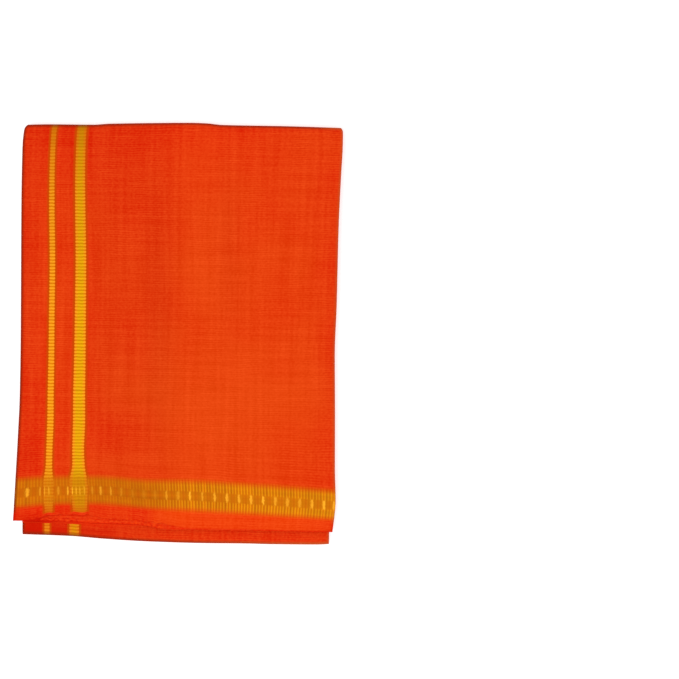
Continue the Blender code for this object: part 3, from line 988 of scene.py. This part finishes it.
# The border. Heights are shares of its own.
BORDER_PITCH = 2.37
BORDER_RIB_REACH = 1.2
BORDER_LOW_FADE = (-0.12, 0.18)
BORDER_HIGH_FADE = (1.16, 0.84)
GOLD_FADE = (0.75, 1)  # how bright the gold is where its ribs are faint, and where they are full
GOLD_CONTRAST = (0.6, 1)
GOLD_GAIN = 2.2
GOLD_STREAKS = 0.3
GOLD_RIB_TONE = 0.22
BAND_MIDDLE = 0.5  # the dashes' band
BAND_HALF_HEIGHT = 0.16
BAND_SOFTNESS = 0.03
BAND_CONTRAST = 0.35
BAND_SHARE = 0.5
HALO_FADE = (4.5, 2.5)  # from a dash's middle
DASH_PITCH = 9.6
DASH_FRAY_REACH = 1.5
DASH_FRAY_HEIGHT = 0.2
DASH_HALF_WIDTH = (0.85, 1.3)
DASH_TAPER = -0.3
DASH_SIDE_FADE = (1.6, 0.3)
DASH_END_FADE = (1.25, 0.65)
DASH_STRENGTH = (0.5, 1.1)

# The stripes.
STRIPE_PITCH = 2.58
STRIPE_RIB_REACH = 0.8
STRIPE_RIB_BULGE = 0.35  # how far a rib stands out at the stripe's sides
STRIPE_RIB_DEPTH_FADE = (0.3, 0.7)
STRIPE_RIB_CONTRAST = (0.75, 1.25)
RIB_SHAPE = (0.05, 0.75)  # the wave's height where a groove ends and where a rib is full
RIB_SHARE = 0.6  # of a rib's colour where the ribs are faint
STRIPE_SHEEN_FADE = (0.8, 1)
STRIPE_STREAKS = 0.2
STRIPE_SOFTNESS = 0.4
STRIPE_SIDE_SOFTNESS = 0.8
StripeKind = namedtuple("StripeKind", "middle half_width side_line amber yellow")
NARROW_KIND = StripeKind(NARROW_STRIPE, "narrow_half", side_line=1.6, amber=1.6, yellow=0.3)
WIDE_KIND = StripeKind(WIDE_STRIPE, "wide_half", side_line=1.8, amber=1.7, yellow=1)
STRIPE_END_FADE = (2.3, 3.9)  # t
CROSSING_GOLD = (0.4, 0.9)  # how much of the border shows on a stripe, between its dashes and on them

# The dark lines of painted shade along the edges, and of painted shadow under the curled selvedge.
PLEAT_TAN_FADE = (228, 246)  # s
MIDDLE_FOLD_TAN_FADE = (400, 500)  # t
MIDDLE_FOLD_TAN_START = (90, 260)  # s
CURL_FADE = (9, 5)  # from the selvedge
LINE_SHARE = (0.85, 0.35)  # on the cloth, and on the border at the pleat

# The surface.
ROUGHNESS = (0.82, 0.5)  # of cotton and of gold
GOLD_METAL = 0.15
SHEEN = {"Weight": 0.08, "Roughness": 0.5, "Tint": (1, 0.3, 0.05, 1)}
SHINE = 0.025
THREAD_PITCH = 0.45
THREAD_HEIGHT = 0.03
RIB_HEIGHT = 0.12
STREAK_HEIGHT = 0.15
BUMP_STRENGTH = 0.6

Weave = namedtuple("Weave", "tree s t from_selvedge warp_streaks weft_streaks")


def weave(tree):
    """The place on the flat cloth, and the unevenness of the threads that run each way."""
    place = tree.nodes.new("ShaderNodeUVMap")
    place.uv_map = "cloth"
    split = tree.nodes.new("ShaderNodeSeparateXYZ")
    tree.links.new(place.outputs["UV"], split.inputs[0])
    s, t = Value(tree, split.outputs["X"]), Value(tree, split.outputs["Y"])
    from_selvedge = t.apply("MINIMUM", t * -1 + CLOTH_WIDTH)
    cloth = Weave(tree, s, t, from_selvedge, None, None)
    return cloth._replace(warp_streaks=noise(cloth, WARP_STREAKS), weft_streaks=noise(cloth, WEFT_STREAKS))


def paleness(cloth, blotches):
    """How far each point is towards a pale thread: uneven threads both ways, slubs and fine lines of warp."""
    slubs = noise(cloth, SLUBS).step(*SLUB_FADE)
    lines = (cloth.t + noise(cloth, WARP_LINE_WANDER) * WARP_LINE_REACH).wave(WARP_LINE_PITCH)
    depth = noise(cloth, WARP_LINE_DEPTH).step(*WARP_LINE_FADE)
    return (
        (cloth.weft_streaks - 0.5) * WEFT_PALE
        + (cloth.warp_streaks - 0.5) * WARP_PALE
        + (noise(cloth, GRAIN) - 0.5) * GRAIN_PALE
        + (blotches - 0.5) * BLOTCH_PALE
        + slubs * SLUB_PALE
        + (lines - 0.5) * depth.between(*WARP_LINE_PALE)
        + ALL_PALE
    )


def ground(cloth):
    """Plain orange cotton, redder in broad places, with painted light and shade of crumples and deep red
    painted shade where it is reddest, and brighter by the selvedge.
    """
    blotches = noise(cloth, BLOTCHES)
    # painted light and shade of crumples
    crumple_shade = (noise(cloth, CRUMPLES) - 0.5) * attribute(cloth, "crumple_shading")
    redness = attribute(cloth, "red") + (blotches - 0.5) * BLOTCH_RED + crumple_shade * CRUMPLE_SHADE_RED
    # the deepest red is painted shade
    red, deep_shade = redness.step(0, 1), redness.step(*DEEP_SHADE_FADE)
    near = cloth.from_selvedge.step(*SELVEDGE_FADE) * SELVEDGE_SHARE
    inside, by_selvedge = mixed(red, ORANGE, RED_ORANGE), mixed(red, SELVEDGE, SELVEDGE_RED)
    plain = mixed(deep_shade, mixed(near, inside, by_selvedge), DEEP_SHADE_RED)
    threaded = mixed(paleness(cloth, blotches) * deep_shade.inverse(), plain, PALE_THREAD)
    return toned(threaded, attribute(cloth, "tone") - crumple_shade * CRUMPLE_SHADE_TONE)


def dash_row(cloth, height):
    """The border's row of dashes: how strongly each point shows one, and how far off its middle is."""
    count = attribute(cloth, "dash_count")
    number = count.apply("ROUND")
    fray = (noise(cloth, DASH_FRAY) - 0.5) * DASH_FRAY_REACH
    off_centre = (count - number).size() * DASH_PITCH + fray
    up = ((height - BAND_MIDDLE) / BAND_HALF_HEIGHT).size() + fray * DASH_FRAY_HEIGHT
    half_width = up * DASH_TAPER + chance(number + 0.5).between(*DASH_HALF_WIDTH)
    dash = (off_centre / half_width).step(*DASH_SIDE_FADE) * up.step(*DASH_END_FADE)
    strength = attribute(cloth, "dash_glow") * chance(number).between(*DASH_STRENGTH)
    return (dash * strength).capped(), off_centre


def border(cloth):
    """The ribbed gold border along the selvedges, with its row of bright dashes. It gives where the border
    lies, its ribs, its dashes and its colour."""
    height = (cloth.from_selvedge - BORDER_START) / (BORDER_END - BORDER_START)
    here = height.step(*BORDER_LOW_FADE) * height.step(*BORDER_HIGH_FADE)
    wander = cloth.s + noise(cloth, BORDER_RIB_WANDER) * BORDER_RIB_REACH
    ribs = wander.wave(BORDER_PITCH)
    groove_tone = chance((wander / BORDER_PITCH + 0.25).apply("ROUND"))  # changes on each rib's crest
    band = stripe(height, BAND_MIDDLE, BAND_HALF_HEIGHT, BAND_SOFTNESS)
    # painted sheen and shade on the border's ribs
    glow = attribute(cloth, "rib_sheen")
    contrast = glow.step(*GOLD_FADE).between(*GOLD_CONTRAST) * band.between(1, BAND_CONTRAST)
    # ribs, and grooves in painted shade
    gold = mixed((ribs - 0.5) * contrast + (glow - 1) * GOLD_GAIN + 0.5, SHADED_GOLD_GROOVE, GOLD_RIB)

    dashes, off_centre = dash_row(cloth, height)
    between_dashes = mixed(off_centre.step(*HALO_FADE), DASH_GROUND, DASH_HALO)
    gold = mixed(band * BAND_SHARE, gold, between_dashes)
    streaks = (cloth.warp_streaks - 0.5) * GOLD_STREAKS
    gold = toned(gold, streaks + (groove_tone - 0.5) * contrast * GOLD_RIB_TONE + 1)
    return here, ribs, dashes, mixed(dashes, gold, DASH)


def stripe_parts(cloth, ribs, kind):
    """Where one stripe lies, where it has the darker lines down its sides, and where it is yellow."""
    half_width = attribute(cloth, kind.half_width) + ribs * STRIPE_RIB_BULGE
    here = stripe(cloth.s, kind.middle, half_width, STRIPE_SOFTNESS)
    beside = stripe(cloth.s, kind.middle, half_width + kind.side_line, STRIPE_SIDE_SOFTNESS)
    core = stripe(cloth.s, kind.middle, half_width - kind.amber, STRIPE_SIDE_SOFTNESS)
    return here, beside, core * kind.yellow


def stripes(cloth):
    """The ribbed stripes near the first cut end, yellow in the middle and amber to the sides. It gives where
    they lie, where the darker lines down their sides do, their ribs and their colour."""
    ribs = (cloth.t + noise(cloth, STRIPE_RIB_WANDER) * STRIPE_RIB_REACH).wave(STRIPE_PITCH)
    narrow, wide = stripe_parts(cloth, ribs, NARROW_KIND), stripe_parts(cloth, ribs, WIDE_KIND)
    here, beside, core = (first + second for first, second in zip(narrow, wide))
    # the grooves' colours are painted shade
    shaded_groove = mixed(core, SHADED_AMBER_GROOVE, SHADED_YELLOW_GROOVE)
    rib = mixed(core, AMBER_RIB, YELLOW_RIB)
    depth = noise(cloth, STRIPE_RIB_DEPTH).step(*STRIPE_RIB_DEPTH_FADE).between(*STRIPE_RIB_CONTRAST)
    # painted sheen and shade on the stripes
    glow = attribute(cloth, "stripe_sheen")
    share = ((ribs.step(*RIB_SHAPE) - RIB_SHARE) * depth + RIB_SHARE) * glow.step(*STRIPE_SHEEN_FADE)
    tone = glow + (cloth.warp_streaks - 0.5) * STRIPE_STREAKS
    return here, beside, ribs, toned(mixed(share, shaded_groove, rib), tone)


def with_painted_edge_shade(cloth, colour, in_border):
    """The colour with the dark lines of painted shade along the edges, brown or tan on the folds, and with
    the painted shadow under a curl in red.
    """
    at_pleat = cloth.s.step(*PLEAT_TAN_FADE)
    on_middle_fold = cloth.t.step(*MIDDLE_FOLD_TAN_FADE) * cloth.s.step(*MIDDLE_FOLD_TAN_START)
    fold_shade = mixed(at_pleat.apply("MAXIMUM", on_middle_fold), EDGE_SHADE_BROWN, EDGE_SHADE_TAN)
    line = mixed(cloth.from_selvedge.step(*CURL_FADE), fold_shade, CURL_SHADOW_RED)
    # how much of the painted edge shade covers each point
    share = attribute(cloth, "edge").step(1, 0) * (in_border * at_pleat).between(*LINE_SHARE)
    return mixed(share, colour, line)


def thread_bump(cloth, ribs):
    """The surface's direction over the threads, and over the ribs that they make."""
    tree = cloth.tree
    weft, warp = [(place * (math.pi / THREAD_PITCH)).apply("SINE") for place in (cloth.s, cloth.t)]
    streaks = cloth.warp_streaks + cloth.weft_streaks
    height = weft * warp * THREAD_HEIGHT + ribs * RIB_HEIGHT + streaks * STREAK_HEIGHT
    bump = tree.nodes.new("ShaderNodeBump")
    bump.inputs["Strength"].default_value = BUMP_STRENGTH
    bump.inputs["Distance"].default_value = MM
    feed(bump.inputs["Height"], height)
    return bump.outputs["Normal"]


def cotton():
    """Handloom cotton in orange, with yellow stripes near the cut end and a gold border by the selvedge."""
    material = bpy.data.materials.new("orange_cotton")
    material.use_nodes = True
    tree = material.node_tree
    surface = tree.nodes["Principled BSDF"].inputs
    cloth = weave(tree)
    in_border, border_ribs, dashes, gold = border(cloth)
    in_stripes, beside_stripes, stripe_ribs, yellow = stripes(cloth)
    off_selvedge = cloth.from_selvedge.step(*STRIPE_END_FADE)
    plain = mixed(beside_stripes * off_selvedge, ground(cloth), STRIPE_SIDE)
    crossed = mixed(in_border * dashes.between(*CROSSING_GOLD), yellow, gold)
    cover = in_stripes * off_selvedge * attribute(cloth, "stripe_cover")
    colour = mixed(cover, mixed(in_border, plain, gold), crossed)
    tree.links.new(with_painted_edge_shade(cloth, colour, in_border), surface["Base Color"])

    shiny = (in_border + in_stripes).capped()
    feed(surface["Roughness"], shiny.between(*ROUGHNESS))
    feed(surface["Metallic"], shiny * GOLD_METAL)
    surface["Specular IOR Level"].default_value = SHINE
    for name, value in SHEEN.items():
        surface["Sheen " + name].default_value = value
    ribs = border_ribs * in_border + stripe_ribs * in_stripes
    tree.links.new(thread_bump(cloth, ribs), surface["Normal"])
    return material


# ---- The studio


def floor():
    """A plain pale floor."""
    mesh = bpy.data.meshes.new("floor")
    signs = (-1, -1), (1, -1), (1, 1), (-1, 1)
    mesh.from_pydata([(x * FLOOR_HALF_WIDTH, y * FLOOR_HALF_WIDTH, 0) for x, y in signs], [], [(0, 1, 2, 3)])
    material = bpy.data.materials.new("floor")
    material.use_nodes = True
    surface = material.node_tree.nodes["Principled BSDF"].inputs
    surface["Base Color"].default_value = FLOOR_GREY
    surface["Roughness"].default_value = FLOOR_ROUGHNESS
    surface["Emission Color"].default_value = WHITE
    surface["Emission Strength"].default_value = FLOOR_GLOW
    mesh.materials.append(material)
    placed("floor", mesh)


def lights():
    """Soft white light from all round, and a large soft light above the front left."""
    world = bpy.data.worlds.new("studio")
    world.use_nodes = True
    background = world.node_tree.nodes["Background"]
    background.inputs["Color"].default_value = WHITE
    background.inputs["Strength"].default_value = WORLD_STRENGTH
    bpy.context.scene.world = world
    light = bpy.data.lights.new("softbox", "AREA")
    light.shape = "DISK"
    light.size = SOFTBOX_WIDTH
    light.energy = SOFTBOX_WATTS
    lamp = placed("softbox", light)
    lamp.location = SOFTBOX_PLACE
    lamp.rotation_euler = (-Vector(SOFTBOX_PLACE)).to_track_quat("-Z", "Y").to_euler()


def camera():
    """Straight above, with the pack to the left of the picture's middle."""
    data = bpy.data.cameras.new("camera")
    data.sensor_width = SENSOR_WIDTH
    data.lens = SENSOR_WIDTH * CAMERA_DISTANCE / (FRAME_WIDTH * MM_PER_PIXEL * MM)
    data.clip_start, data.clip_end = CAMERA_SEES
    eye = placed("camera", data)
    eye.location = (CAMERA_X * MM, CAMERA_Y * MM, CAMERA_DISTANCE + PACK_HEIGHT * MM)
    bpy.context.scene.camera = eye


bpy.context.scene.view_settings.view_transform = "Standard"
dhoti = folded_cloth()
dhoti.data.materials.append(cotton())
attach(dhoti, "root")
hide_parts("top_stretch", "second_stretch", "middle_fold", "under_stretch", "hidden_layers")
floor()
lights()
camera()
